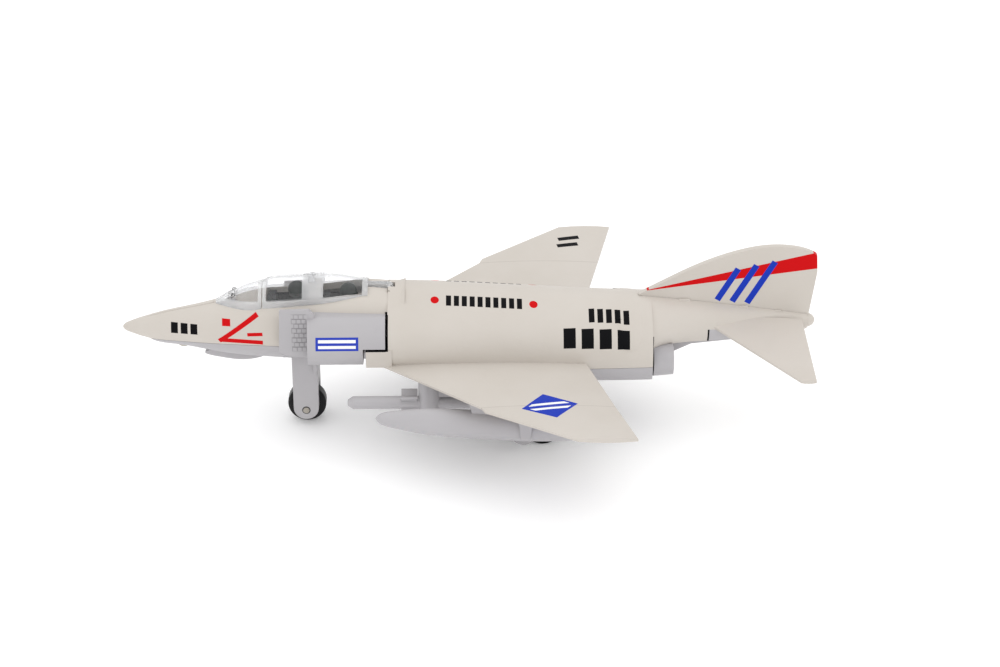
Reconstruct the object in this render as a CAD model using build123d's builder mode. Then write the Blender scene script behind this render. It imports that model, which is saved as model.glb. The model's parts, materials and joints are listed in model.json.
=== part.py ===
"""Toy two-seat jet: painted upper casting, grey plastic underside, pull-back motor.

Frame: origin on the table under the middle of the length, +X towards the tail,
+Y to starboard, +Z up. Millimetres.
"""
from build123d import *
import math
import os

os.makedirs("parts", exist_ok=True)
side_names = {-1: "left", 1: "right"}

# ---------------------------------------------------------------- driving sizes
overall_length = 218.2
wing_span = 148.0
wall = 2.0              # shell of the body mouldings
seam_gap = 0.12         # between the upper casting and the plastic underside
running = 0.06          # radial clearance of turning fits

nose_x = -overall_length / 2
tail_x = overall_length / 2

# nose and tail
radome_axis_z = 33.1
radome_length = 8.5
radome_radius = 3.8
chin_start = 9.4        # behind the nose tip
chin_seam_z = 30.5
belly_seam_z = 26.0
body_end_x = 57.0
tail_cone_radius = 2.8
tail_cone_z = 33.8
tail_cap_length = 2.6
tail_cap_radius = 2.35
tail_cap_root = 0.5

# intakes
intake_front_x = -50.0
intake_rear_x = -26.0
intake_inner_y = 7.5
intake_step_x = -32.9
intake_step_z = 34.0
splitter_front_x = -59.2
splitter_thickness = 1.2
splitter_y = 12.0
splitter_low_z = 29.4
splitter_top_z = 44.5
mouth_depth = 7.0

# canopy and cockpit
windscreen_start_x = -79.3
canopy_front_x = -64.3
canopy_rear_x = -31.5
canopy_gap = 0.3
canopy_wall = 0.9
cockpit_half_width = 5.4
cockpit_floor_z = 37.0
tub_wall = 0.8
bridge_x = -48.0
bridge_length = 4.0
hinge_x = -25.0
hinge_z = 46.2
hinge_pin_radius = 0.6
hinge_pin_length = 8.0
hinge_eye_radius = 1.4
hinge_arm_width = 2.4

# wings
wing_root_y = 15.0
wing_root_z = 27.5
wing_root_front = -29.9
wing_root_rear = 35.5
fold_y = 50.3
fold_z = 30.2
fold_front = 3.5
fold_rear = 43.2
tooth_width = 2.7
tooth_front = 4.5
tip_z = 32.5
tip_front = 31.0
tip_rear = 48.4
wing_root_thickness = 2.6
wing_tip_thickness = 1.5
wing_edge = 0.7

# tail surfaces
stab_root_y = 4.0
stab_tip_y = 27.0
stab_root_z = 35.6
stab_tip_z = 25.8
fin_thickness = 2.0
fin_slot_gap = 0.1

# wheels and legs
wheel_radius = 6.1
nose_wheel_x = -52.0
nose_wheel_width = 5.0
fork_gap = 6.4
fork_cheek = 3.5
leg_width = 8.0
leg_end_z = 2.9
axle_radius = 1.0
main_wheel_x = 22.8
main_wheel_width = 4.8
main_wheel_y = 16.8
main_leg_x = 16.7
main_leg_y = 22.6
main_leg_thickness = 3.4

# stores
tank_y = 41.5
tank_radius = 4.3
tank_length = 75.0
tank_nose_x = -28.6
tank_nose_z = 22.3
tank_tilt = 4.3
tank_taper_start = 42.0
missile_y = 26.0
missile_z = 19.3
missile_radius = 2.0
missile_nose_x = -37.6
missile_length = 45.0
pylon_front_x = -15.8
pylon_length = 6.8
pylon_width = 6.2
pylon_low_z = 16.8
rail_rear_x = -0.4
rail_low_z = 22.0
rail_width = 3.6
above_wing_z = 33.0     # stores' supports are drawn up to here and cut by the wing

# motor
motor_half_width = 9.0
motor_wall = 1.2
motor_low_z = 1.0
motor_top_z = wheel_radius + 29.3
motor_front_x = 9.2
motor_rear_x = 29.6
gear_module = 0.5
axle_teeth = 12
idler_teeth = 24
idler_pinion_teeth = 12
drum_teeth = 32
gear_width = 2.4
gear_backlash = 0.2
pressure_angle = math.radians(20)


def save(node, name):
    """Label one finished piece and write it."""
    node.label = name
    export_step(node, f"parts/{name}.step")


def aft(distance):
    """X of a place measured from the nose tip."""
    return nose_x + distance


def cross_plane(x):
    """Plane across the body: local x is +Y, local y is +Z, normal is +X."""
    return Plane(origin=(x, 0, 0), x_dir=(0, 1, 0), z_dir=(1, 0, 0))


def side_plane(y):
    """Plane along the body: local x is +X, local y is +Z, normal is -Y."""
    return Plane(origin=(0, y, 0), x_dir=(1, 0, 0), z_dir=(0, -1, 0))


# ---------------------------------------------------------------- body frames
# Each frame: x, then (half-width, height) of the bottom corner, low side, side,
# shoulder, and the height of the crown.
def round_frame(x, radius, axis_z):
    """Frame of a round section with a narrow flat underneath."""
    return (x, (0.45 * radius, axis_z - 0.89 * radius), (0.87 * radius, axis_z - 0.5 * radius),
            (radius, axis_z), (0.7 * radius, axis_z + 0.71 * radius), axis_z + radius)


nose_frames = [
    round_frame(aft(radome_length), radome_radius, radome_axis_z),
    round_frame(aft(13.4), 5.2, 33.0),
    round_frame(aft(21.5), 6.6, 33.3),
    (aft(28.8), (3.8, 26.2), (6.7, 29.4), (7.8, 33.6), (5.4, 39.6), 41.4),
    (-64.0, (4.8, 24.6), (8.5, 29.0), (9.5, 35.0), (6.5, 42.9), 44.8),
    (-56.0, (5.4, 24.3), (9.4, 29.0), (10.3, 36.0), (6.9, 43.3), 45.4),
    (-45.0, (5.8, 24.1), (10.0, 29.5), (10.9, 37.0), (7.2, 44.1), 46.1),
    (-31.5, (6.2, 24.0), (10.4, 30.0), (11.2, 38.0), (7.6, 45.4), 47.2),
    (-20.0, (6.5, 24.0), (10.6, 30.0), (11.3, 38.0), (7.8, 45.5), 47.3),
]
middle_frames = [
    (intake_rear_x + 0.7, (12.5, 24.0), (19.0, 30.0), (17.7, 37.2), (10.6, 43.5), 47.3),
    (0.0, (14.2, 22.3), (18.8, 29.2), (17.3, 36.6), (10.4, 42.8), 46.2),
    (28.5, (15.2, 21.0), (18.2, 28.4), (16.6, 35.3), (9.9, 41.2), 44.5),
    (body_end_x, (15.0, 20.8), (16.9, 28.0), (15.0, 34.6), (9.0, 40.4), 42.9),
]
boom_frames = [
    (46.0, (14.5, 29.6), (15.8, 31.5), (15.0, 35.0), (9.0, 40.8), 43.4),
    (body_end_x, (11.5, 29.6), (13.0, 31.5), (12.6, 35.0), (8.0, 40.2), 42.9),
    (tail_x - 45.1, (7.5, 29.5), (8.8, 31.5), (8.9, 35.0), (6.2, 39.6), 42.2),
    (tail_x - 34.1, (5.4, 29.3), (6.6, 31.5), (6.8, 35.0), (4.6, 38.9), 40.9),
    (tail_x - 19.1, (3.6, 30.2), (4.7, 32.0), (4.9, 34.6), (3.4, 37.6), 38.9),
    (tail_x - tail_cap_length - 3.0, (1.7, 31.1), (2.7, 32.5), (3.1, 34.0), (2.2, 36.2), 37.0),
    round_frame(tail_x - tail_cap_length, tail_cone_radius, tail_cone_z),
]


def frame_outline(frame, inset):
    """Closed outline of one body frame, drawn inside by the wall when inset is given."""
    x, bottom, low, side, shoulder, crown = frame
    right = [
        (bottom[0] - inset * 0.6, bottom[1] + inset),
        (low[0] - inset, low[1] + inset * 0.4),
        (side[0] - inset, side[1]),
        (shoulder[0] - inset * 0.7, shoulder[1] - inset * 0.7),
    ]
    left = [(-y, z) for y, z in reversed(right)]
    with BuildSketch(cross_plane(x)) as outline:
        with BuildLine():
            Spline(*right, (0, crown - inset), *left)
            Line(left[-1], right[0])
        make_face()
    return outline.sketch


def skin_loft(frames, inset=0.0):
    """Smooth solid through a row of body frames."""
    with BuildPart() as skin:
        loft([frame_outline(frame, inset) for frame in frames])
    return skin.part


nose_skin = skin_loft(nose_frames)
middle_skin = skin_loft(middle_frames)
boom_skin = skin_loft(boom_frames)
nose_core = skin_loft(nose_frames[2:], wall)
middle_core = skin_loft(
    [(middle_frames[0][0] - 1.0,) + middle_frames[0][1:]]
    + middle_frames[1:3] + [(body_end_x - wall,) + middle_frames[3][1:]], wall)

# the radome and the smaller tail cap are turned shapes on the two ends
with BuildPart() as radome:
    with BuildSketch(Plane.XZ):
        with BuildLine():
            Spline((nose_x, radome_axis_z), (aft(0.5), radome_axis_z + 0.85),
                   (aft(2.2), radome_axis_z + 1.75), (aft(5.4), radome_axis_z + 2.9),
                   (aft(radome_length) + 0.1, radome_axis_z + radome_radius))
            Line((aft(radome_length) + 0.1, radome_axis_z + radome_radius),
                 (aft(radome_length) + 0.1, radome_axis_z))
            Line((aft(radome_length) + 0.1, radome_axis_z), (nose_x, radome_axis_z))
        make_face()
    revolve(axis=Axis((0, 0, radome_axis_z), (1, 0, 0)))

with BuildPart() as tail_cap:
    cap_x = tail_x - tail_cap_length - tail_cap_root
    with BuildSketch(Plane.XZ):
        with BuildLine():
            EllipticalCenterArc((cap_x, tail_cone_z), tail_cap_length + tail_cap_root,
                                tail_cap_radius, start_angle=0, arc_size=90)
            Polyline((cap_x, tail_cone_z + tail_cap_radius), (cap_x, tail_cone_z), (tail_x, tail_cone_z))
        make_face()
    revolve(axis=Axis((0, 0, tail_cone_z), (1, 0, 0)))


def below_seam(lift):
    """Everything under the line where the plastic underside meets the casting."""
    with BuildPart() as region:
        with BuildSketch(Plane.XZ):
            Polygon((aft(chin_start) - lift, 0), (aft(chin_start) - lift, chin_seam_z + lift),
                    (intake_rear_x + 1, chin_seam_z + lift), (intake_rear_x + 1, belly_seam_z + lift),
                    (body_end_x + 1, belly_seam_z + lift), (body_end_x + 1, 0), align=None)
        extrude(amount=30, both=True)
    return region.part


# ---------------------------------------------------------------- wings and tail surfaces
def blade_section(y, front, rear, height, thickness):
    """Thin curved section of a wing at one place along the span."""
    edge = wing_edge / 2
    middle = front + 0.4 * (rear - front)
    with BuildSketch(side_plane(y)) as section:
        with BuildLine():
            ThreePointArc((front, height + edge), (middle, height + thickness / 2), (rear, height + edge))
            Line((rear, height + edge), (rear, height - edge))
            ThreePointArc((rear, height - edge), (middle, height - thickness / 2), (front, height - edge))
            Line((front, height - edge), (front, height + edge))
        make_face()
    return section.sketch


def wing(side):
    """One wing: inner panel, saw-tooth at the fold, outer panel."""
    tip_y = wing_span / 2
    fold_thickness = 0.5 * (wing_root_thickness + wing_tip_thickness)
    tooth_z = fold_z + (tip_z - fold_z) * tooth_width / (tip_y - fold_y)
    tooth_rear = fold_rear + (tip_rear - fold_rear) * tooth_width / (tip_y - fold_y)
    stations = [
        (wing_root_y, wing_root_front, wing_root_rear, wing_root_z, wing_root_thickness),
        (fold_y, fold_front, fold_rear, fold_z, fold_thickness),
        (fold_y + tooth_width, tooth_front, tooth_rear, tooth_z, fold_thickness),
        (tip_y, tip_front, tip_rear, tip_z, wing_tip_thickness),
    ]
    sections = [blade_section(side * row[0], *row[1:]) for row in stations]
    with BuildPart() as panel:
        loft(sections, ruled=True)
    return panel.part


def stabilator(side):
    """One drooping tailplane."""
    root = blade_section(side * stab_root_y, tail_x - 35.6, tail_x - 4.6, stab_root_z, 2.2)
    tip = blade_section(side * stab_tip_y, tail_x - 7.2, tail_x - 2.4, stab_tip_z, 1.2)
    with BuildPart() as panel:
        loft([root, tip], ruled=True)
    return panel.part


def fin_outline(margin=0.0):
    """Side outline of the fin; its foot stands in a slot along the spine."""
    edge = [(tail_x - 56.0, 43.5), (tail_x - 39.2, 52.4), (tail_x - 24.4, 58.0),
            (tail_x - 11.7, 59.6), (tail_x - 0.6, 56.6)]
    with BuildSketch(Plane.XZ) as outline:
        with BuildLine():
            Spline(*edge, tangents=[(1, 0.5), (1, -0.75)])
            Polyline(edge[-1], (tail_x - 0.2, 51.0), (tail_x - 2.2, 36.0), (tail_x - 24.0, 37.0),
                     (tail_x - 47.0, 40.0), edge[0])
        make_face()
        if margin:
            offset(amount=margin)
    return outline.sketch


with BuildPart() as tail_fin:
    extrude(fin_outline(), amount=fin_thickness / 2, both=True)
save(tail_fin.part, "tail_fin")

with BuildPart() as fin_slot:
    extrude(fin_outline(fin_slot_gap), amount=fin_thickness / 2 + fin_slot_gap, both=True)


# ---------------------------------------------------------------- upper casting
def cockpit_block(half_width, low_z, front_x, rear_x, height):
    """Upright block with rounded corners, used for the cockpit opening and its tub."""
    with BuildPart() as block:
        with BuildSketch(Plane.XY.offset(low_z)):
            with Locations(((front_x + rear_x) / 2, 0)):
                RectangleRounded(rear_x - front_x, 2 * half_width, 1.5)
        extrude(amount=height)
    return block.part


def bridge_shape(x, half_width, low_z, height, length):
    """Arched bulkhead across the cockpit."""
    with BuildPart() as arch:
        with BuildSketch(cross_plane(x - length / 2)):
            with BuildLine():
                EllipticalCenterArc((0, low_z), half_width, height, start_angle=0, arc_size=180)
                Polyline((-half_width, low_z), (-half_width, low_z - 4), (half_width, low_z - 4),
                         (half_width, low_z))
            make_face()
        extrude(amount=length)
    return arch.part


def side_block(front_x, rear_x, inner_y, outer_y, low_z, top_z, side):
    """Plain block standing on one side of the body."""
    with BuildPart() as block:
        with Locations(((front_x + rear_x) / 2, side * (inner_y + outer_y) / 2, (low_z + top_z) / 2)):
            Box(rear_x - front_x, outer_y - inner_y, top_z - low_z)
    return block.part


screw_boss_radius = 3.0
screw_radius = 1.1
screw_hole_radius = 1.15
screw_head_radius = 1.9
screw_head_height = 1.2
# x, y, height of the head's underside, top of the shank
screw_places = [(-90.0, 0.0, 26.9, 36.0), (47.0, -8.0, 21.1, 35.0), (47.0, 8.0, 21.1, 35.0)]
rear_screws = screw_places[1:]
peg_x = -73.6
peg_y = 2.0
peg_radius = 0.8
block_front_x = -32.0

with BuildPart() as upper_body:
    add(nose_skin)
    add(middle_skin)
    add(boom_skin)
    add(tail_cap.part)
    add(radome.part)
    add(nose_core, mode=Mode.SUBTRACT)
    add(middle_core, mode=Mode.SUBTRACT)
    add(below_seam(0.0), mode=Mode.SUBTRACT)
    # bosses of the two rear screws
    for boss_x, boss_y, _, _ in rear_screws:
        with BuildSketch(Plane.XY.offset(belly_seam_z + 1.0)):
            with Locations((boss_x, boss_y)):
                Circle(screw_boss_radius)
        extrude(amount=13.0)
    for side in (-1, 1):
        add(wing(side))
        add(stabilator(side))
        add(side_block(block_front_x, intake_rear_x + 2, 9.0, 19.4, 27.9, intake_step_z - 0.4, side))
    add(cockpit_block(cockpit_half_width, cockpit_floor_z - tub_wall, canopy_front_x + 1.0,
                      canopy_rear_x - 1.5, 20), mode=Mode.SUBTRACT)
    add(bridge_shape(bridge_x, cockpit_half_width + 0.8, 44.0, 4.8, bridge_length))
    add(cockpit_block(cockpit_half_width - 0.6, cockpit_floor_z - tub_wall - 0.5, canopy_front_x + 2.0,
                      canopy_rear_x - 2.5, 8.3), mode=Mode.SUBTRACT)
    add(fin_slot.part, mode=Mode.SUBTRACT)
    # slot in the spine for the canopy's hinge arm, and the hole of its pin
    with BuildSketch(Plane.XY.offset(hinge_z - hinge_eye_radius - 0.6)):
        with Locations(((canopy_rear_x - 1.5 + hinge_x + hinge_eye_radius + 0.5) / 2, 0)):
            Rectangle(hinge_x + hinge_eye_radius + 0.5 - canopy_rear_x + 1.5, hinge_arm_width + 0.8)
    extrude(amount=10, mode=Mode.SUBTRACT)
    with Locations((hinge_x, 0, hinge_z)):
        Cylinder(hinge_pin_radius, hinge_pin_length, rotation=(90, 0, 0), mode=Mode.SUBTRACT)
    # two peg holes under the windscreen
    with Locations((peg_x, peg_y, 40), (peg_x, -peg_y, 40)):
        Cylinder(peg_radius, 12, mode=Mode.SUBTRACT)
    for x, y, _, shank_top in screw_places:
        with Locations((x, y, shank_top - 5.0)):
            Cylinder(screw_hole_radius, 11.0, mode=Mode.SUBTRACT)
save(upper_body.part, "upper_body")


# ---------------------------------------------------------------- plastic underside
floor_hole_front_x = motor_front_x - 0.3
floor_hole_rear_x = motor_rear_x + 0.3
leg_socket_depth = 4.0
motor_flange_z = 24.8
motor_flange_thickness = 1.4
motor_screw_x = (motor_front_x - 3.2, motor_rear_x + 3.2)
motor_screw_radius = 0.9
keel_width = 7.0

with BuildPart() as lower_body:
    add(nose_skin)
    add(middle_skin)
    add(below_seam(-seam_gap), mode=Mode.INTERSECT)
    add(nose_core, mode=Mode.SUBTRACT)
    add(middle_core, mode=Mode.SUBTRACT)
    # keel between the nozzles, then the underside of the tail
    with BuildSketch(Plane.XZ):
        Polygon((50.0, 24.0), (body_end_x + 7.0, 24.5), (70.0, 27.4), (tail_x - 15.0, 30.0),
                (tail_x - 15.0, 29.6 + 1.6), (75.0, 29.2 - seam_gap), (body_end_x, 29.5 - seam_gap),
                (body_end_x, 25.5), (50.0, 25.5), align=None)
    extrude(amount=keel_width / 2, both=True)
    add(boom_skin, mode=Mode.SUBTRACT)
    # pod under the nose
    with BuildSketch(Plane.XZ):
        with BuildLine():
            Spline((-81.6, 25.4), (-83.6, 24.5), (-79.0, 22.9), (-71.5, 21.9), (-66.5, 22.6), (-61.5, 25.6))
            Polyline((-61.5, 25.6), (-70.0, 27.5), (-79.5, 27.5), (-81.6, 25.4))
        make_face()
    extrude(amount=1.6, both=True)
    # floor blocks that hold the nose leg and take the screws
    with Locations((nose_wheel_x, 0, 27.0)):
        Box(leg_width + 5.0, 13.0, 4.0)
    for boss_x, boss_y, _, _ in rear_screws:
        with BuildSketch(Plane.XY.offset(22.0)):
            with Locations((boss_x, boss_y)):
                Circle(screw_boss_radius)
        extrude(amount=belly_seam_z + 1.0 - seam_gap - 22.0)
    with Locations([(x, 0, (21.8 + motor_flange_z) / 2) for x in motor_screw_x]):
        Cylinder(2.6, motor_flange_z - 21.8)
    with Locations((nose_wheel_x, 0, 25.0)):
        Box(leg_width, 2 * fork_cheek + fork_gap, 2 * leg_socket_depth, mode=Mode.SUBTRACT)
    with BuildSketch(Plane.XY.offset(15.0)):
        with Locations(((floor_hole_front_x + floor_hole_rear_x) / 2, 0)):
            Rectangle(floor_hole_rear_x - floor_hole_front_x, 2 * motor_half_width + 0.6)
    extrude(amount=15.0, mode=Mode.SUBTRACT)
    for x, y, head_z, _ in screw_places:
        with Locations((x, y, head_z)):
            Cylinder(screw_hole_radius, 14, mode=Mode.SUBTRACT)
        with Locations((x, y, head_z + screw_head_height - 5.0)):
            Cylinder(screw_head_radius + 0.15, 10.0, mode=Mode.SUBTRACT)
    with Locations([(x, 0, motor_flange_z - 1.0) for x in motor_screw_x]):
        Cylinder(motor_screw_radius, 5.0, mode=Mode.SUBTRACT)
    for side in (-1, 1):
        add(side_block(block_front_x - 0.1, intake_rear_x + 2, 8.9, 19.5, 27.8, intake_step_z - 0.3, side),
            mode=Mode.SUBTRACT)
save(lower_body.part, "lower_body")

# ---------------------------------------------------------------- intakes
intake_low_z = 27.9
intake_top_z = 42.0
intake_outer = [(17.2, intake_low_z), (19.1, 31.0), (18.0, 37.0), (15.6, 40.4), (12.6, intake_top_z)]


def intake_outline(x):
    """D-shaped section of one intake, starboard side."""
    with BuildSketch(cross_plane(x)) as outline:
        with BuildLine():
            Spline(*intake_outer)
            Polyline(intake_outer[-1], (intake_inner_y, intake_top_z), (intake_inner_y, intake_low_z),
                     intake_outer[0])
        make_face()
    return outline.sketch


with BuildPart() as intake_right:
    extrude(intake_outline(intake_front_x), amount=intake_rear_x - intake_front_x)
    # notch over the wing root
    with Locations(((intake_step_x + intake_rear_x) / 2 + 1, 15, (intake_step_z + 20) / 2)):
        Box(intake_rear_x - intake_step_x + 2, 14, intake_step_z - 20, mode=Mode.SUBTRACT)
    with BuildSketch(cross_plane(intake_front_x)):
        Polygon((splitter_y + splitter_thickness, intake_low_z + 1.4), (16.6, intake_low_z + 1.4),
                (17.9, 31.5), (16.9, 36.4), (splitter_y + splitter_thickness, 40.4), align=None)
    extrude(amount=mouth_depth, mode=Mode.SUBTRACT)
    # splitter plate in front of the mouth, standing off the nose on a filler
    with BuildSketch(side_plane(splitter_y + splitter_thickness)):
        Polygon((splitter_front_x, splitter_low_z + 1.0), (splitter_front_x + 0.6, splitter_top_z),
                (intake_front_x + 0.5, splitter_top_z + 0.3), (intake_front_x + 2.0, splitter_top_z - 1.2),
                (intake_front_x + 2.0, 28.2), (splitter_front_x + 3.0, splitter_low_z - 0.6), align=None)
    extrude(amount=splitter_thickness)
    with BuildSketch(side_plane(splitter_y)):
        with Locations(((splitter_front_x + 3.0 + intake_front_x + 1.0) / 2,
                        (splitter_low_z + splitter_top_z) / 2)):
            Rectangle(intake_front_x - splitter_front_x - 2.0, splitter_top_z - splitter_low_z - 4.0)
    extrude(amount=splitter_y - intake_inner_y)
    # bleed grid: staggered bricks on the plate's outer face
    for row in range(8):
        offset_x = 0.7 if row % 2 else 0.0
        with Locations([(-54.2 + offset_x + 1.5 * i, splitter_y + splitter_thickness, 31.4 + 1.6 * row)
                        for i in range(3)]):
            Box(1.2, 0.3, 1.25)
    add(nose_skin, mode=Mode.SUBTRACT)
save(intake_right.part, "intake_right")
intake_left = mirror(intake_right.part, Plane.XZ)
save(intake_left, "intake_left")

# ---------------------------------------------------------------- nozzles
nozzle_y = 9.5
nozzle_z = 25.2
nozzle_radius = 5.4
nozzle_rear_radius = 4.9
nozzle_length = 6.8

for side in (-1, 1):
    with BuildPart() as nozzle:
        with BuildSketch(cross_plane(body_end_x + 0.5)):
            with Locations((side * nozzle_y, nozzle_z)):
                Circle(nozzle_radius)
        with BuildSketch(cross_plane(body_end_x + nozzle_length)):
            with Locations((side * nozzle_y, nozzle_z)):
                Circle(nozzle_rear_radius)
        loft()
        with BuildSketch(cross_plane(body_end_x)):
            with Locations((side * nozzle_y, nozzle_z)):
                Circle(nozzle_radius - 1.6)
        extrude(amount=0.5)
        with BuildSketch(cross_plane(body_end_x + 2.0)):
            with Locations((side * nozzle_y, nozzle_z)):
                Circle(nozzle_rear_radius - 0.9)
        extrude(amount=nozzle_length, mode=Mode.SUBTRACT)
        add(boom_skin, mode=Mode.SUBTRACT)
        with Locations((body_end_x + 3.5, 0, 27.0)):
            Box(9.0, keel_width + 0.1, 8.0, mode=Mode.SUBTRACT)
    save(nozzle.part, f"nozzle_{side_names[side]}")

# ---------------------------------------------------------------- windscreen and canopy
# x, half-width, foot height and rise of each arch
windscreen_arches = [(windscreen_start_x, 1.4, 41.0, 1.4), (-73.8, 5.2, 41.2, 4.2),
                     (canopy_front_x - canopy_gap, 7.0, 42.2, 6.2)]
canopy_arches = [(canopy_front_x, 7.1, 42.2, 6.3), (-56.4, 7.3, 42.8, 7.4), (-50.8, 7.3, 43.2, 7.3),
                 (-40.2, 7.3, 44.0, 6.3), (-36.6, 7.2, 44.3, 5.2), (canopy_rear_x, 7.0, 44.8, 3.6)]


def arch_loft(arches, inset=0.0):
    """Bubble through a row of half-ellipse arches."""
    with BuildPart() as bubble:
        sections = []
        for x, half_width, foot, rise in arches:
            with BuildSketch(cross_plane(x)) as arch:
                with BuildLine():
                    EllipticalCenterArc((0, foot), half_width - inset, rise - inset,
                                        start_angle=0, arc_size=180)
                    Line((-half_width + inset, foot), (half_width - inset, foot))
                make_face()
            sections.append(arch.sketch)
        loft(sections)
    return bubble.part


with BuildPart() as windscreen:
    add(arch_loft(windscreen_arches))
    add(arch_loft([(windscreen_start_x + 2.4, 1.6, 41.0, 1.9)] + windscreen_arches[1:2]
                  + [(canopy_front_x, 7.0, 42.2, 6.3)], canopy_wall), mode=Mode.SUBTRACT)
    add(nose_skin, mode=Mode.SUBTRACT)
    with Locations((peg_x, peg_y, 42.5), (peg_x, -peg_y, 42.5)):
        Cylinder(peg_radius - 0.05, 5.4)
save(windscreen.part, "windscreen")

with BuildPart() as lifted_skin:
    add(nose_skin.moved(Location((0, 0, 0.15))))

with BuildPart() as canopy:
    add(arch_loft(canopy_arches))
    add(arch_loft([(canopy_front_x - 0.5, 7.1, 42.2, 6.3)] + canopy_arches[1:5]
                  + [(canopy_rear_x - canopy_wall + 0.9, 7.0, 44.8, 3.6)], canopy_wall),
        mode=Mode.SUBTRACT)
    with BuildSketch(cross_plane(canopy_rear_x - 0.8)):
        with BuildLine():
            EllipticalCenterArc((0, 44.8), 6.8, 3.5, start_angle=0, arc_size=180)
            Line((-6.8, 44.8), (6.8, 44.8))
        make_face()
    extrude(amount=0.8)
    add(lifted_skin.part, mode=Mode.SUBTRACT)
    # hinge arm with its eye
    with BuildSketch(Plane.XZ):
        Polygon((canopy_rear_x - 0.6, hinge_z + 0.2), (canopy_rear_x - 0.6, hinge_z + 1.6),
                (hinge_x, hinge_z + hinge_eye_radius), (hinge_x, hinge_z - 0.6), align=None)
        with Locations((hinge_x, hinge_z)):
            Circle(hinge_eye_radius)
    extrude(amount=hinge_arm_width / 2, both=True)
    with Locations((hinge_x, 0, hinge_z)):
        Cylinder(hinge_pin_radius + running, 6, rotation=(90, 0, 0), mode=Mode.SUBTRACT)
save(canopy.part, "canopy")

with BuildPart() as canopy_pin:
    with Locations((hinge_x, 0, hinge_z)):
        Cylinder(hinge_pin_radius, hinge_pin_length, rotation=(90, 0, 0))
save(canopy_pin.part, "canopy_pin")

# ---------------------------------------------------------------- cockpit
tub_front_x = canopy_front_x + 1.2
tub_rear_x = canopy_rear_x - 1.7
with BuildPart() as cockpit_tub:
    add(cockpit_block(cockpit_half_width - 0.1, cockpit_floor_z - tub_wall, tub_front_x, tub_rear_x, 6.0))
    add(cockpit_block(cockpit_half_width - 0.1 - tub_wall, cockpit_floor_z, tub_front_x + tub_wall,
                      tub_rear_x - tub_wall, 8.0), mode=Mode.SUBTRACT)
    # instrument panels in front of each seat
    for panel_x in (tub_front_x + 1.6, bridge_x + 3.4):
        with Locations((panel_x, 0, cockpit_floor_z + 3.2)):
            Box(2.2, 2 * cockpit_half_width - 2.2, 6.4)
    with Locations((bridge_x, 0, 42.2)):
        Box(bridge_length + 0.2, 2 * cockpit_half_width + 1, 10.0, mode=Mode.SUBTRACT)
    with Locations((bridge_x, 0, cockpit_floor_z - tub_wall / 2)):
        Box(bridge_length + 0.4, 2 * cockpit_half_width - 1.6, tub_wall)
save(cockpit_tub.part, "cockpit_tub")

seat_width = 6.4
seat_head_radius = 2.7
for name, seat_x, head_z in (("front_seat", -54.2, 48.4), ("rear_seat", -38.1, 47.6)):
    with BuildPart() as seat:
        with BuildSketch(Plane.XZ):
            with BuildLine():
                Polyline((seat_x - 4.2, cockpit_floor_z + 0.05), (seat_x - 4.2, cockpit_floor_z + 3.4),
                         (seat_x - 0.9, cockpit_floor_z + 3.0), (seat_x - 0.4, head_z - 3.4),
                         (seat_x + 2.6, head_z - 3.4), (seat_x + 2.8, cockpit_floor_z + 0.05),
                         (seat_x - 4.2, cockpit_floor_z + 0.05))
            make_face()
        extrude(amount=seat_width / 2, both=True)
        with Locations((seat_x + 0.3, 0, head_z - seat_head_radius)):
            Sphere(seat_head_radius)
    save(seat.part, name)

# ---------------------------------------------------------------- nose gear
axle_z = wheel_radius
nose_leg_top_z = 25.0 + leg_socket_depth - 0.1


def leg_outline(x, low_z, top_z, width):
    """Side outline of a leg with a round lower end."""
    with BuildSketch(Plane.XZ) as outline:
        with Locations((x, (low_z + width / 2 + top_z) / 2)):
            Rectangle(width, top_z - low_z - width / 2)
        with Locations((x, low_z + width / 2)):
            Circle(width / 2)
    return outline.sketch


with BuildPart() as nose_gear_leg:
    extrude(leg_outline(nose_wheel_x, leg_end_z, nose_leg_top_z, leg_width - 0.1),
            amount=fork_gap / 2 + fork_cheek - 0.05, both=True)
    with BuildSketch(Plane.XZ):
        with BuildLine():
            arch_z = axle_z + wheel_radius + 1.0
            Polyline((nose_wheel_x - 8, arch_z), (nose_wheel_x - 8, 0), (nose_wheel_x + 8, 0),
                     (nose_wheel_x + 8, arch_z), (nose_wheel_x - 8, arch_z))
        make_face()
    extrude(amount=fork_gap / 2, both=True, mode=Mode.SUBTRACT)
    with Locations((nose_wheel_x, 0, axle_z)):
        Cylinder(axle_radius, 20, rotation=(90, 0, 0), mode=Mode.SUBTRACT)
save(nose_gear_leg.part, "nose_gear_leg")

with BuildPart() as nose_axle:
    with Locations((nose_wheel_x, 0, axle_z)):
        Cylinder(axle_radius, fork_gap + 2 * fork_cheek + 0.3, rotation=(90, 0, 0))
save(nose_axle.part, "nose_axle")


def wheel(x, y, width, radius, bore):
    """Turned wheel with rounded shoulders."""
    with BuildPart() as disc:
        with Locations((x, y, axle_z)):
            Cylinder(radius, width, rotation=(90, 0, 0))
        fillet(disc.edges().filter_by(GeomType.CIRCLE), 0.9)
        with Locations((x, y, axle_z)):
            Cylinder(bore, width + 1, rotation=(90, 0, 0), mode=Mode.SUBTRACT)
    return disc.part


save(wheel(nose_wheel_x, 0, nose_wheel_width, wheel_radius, axle_radius + running), "nose_wheel")

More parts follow.
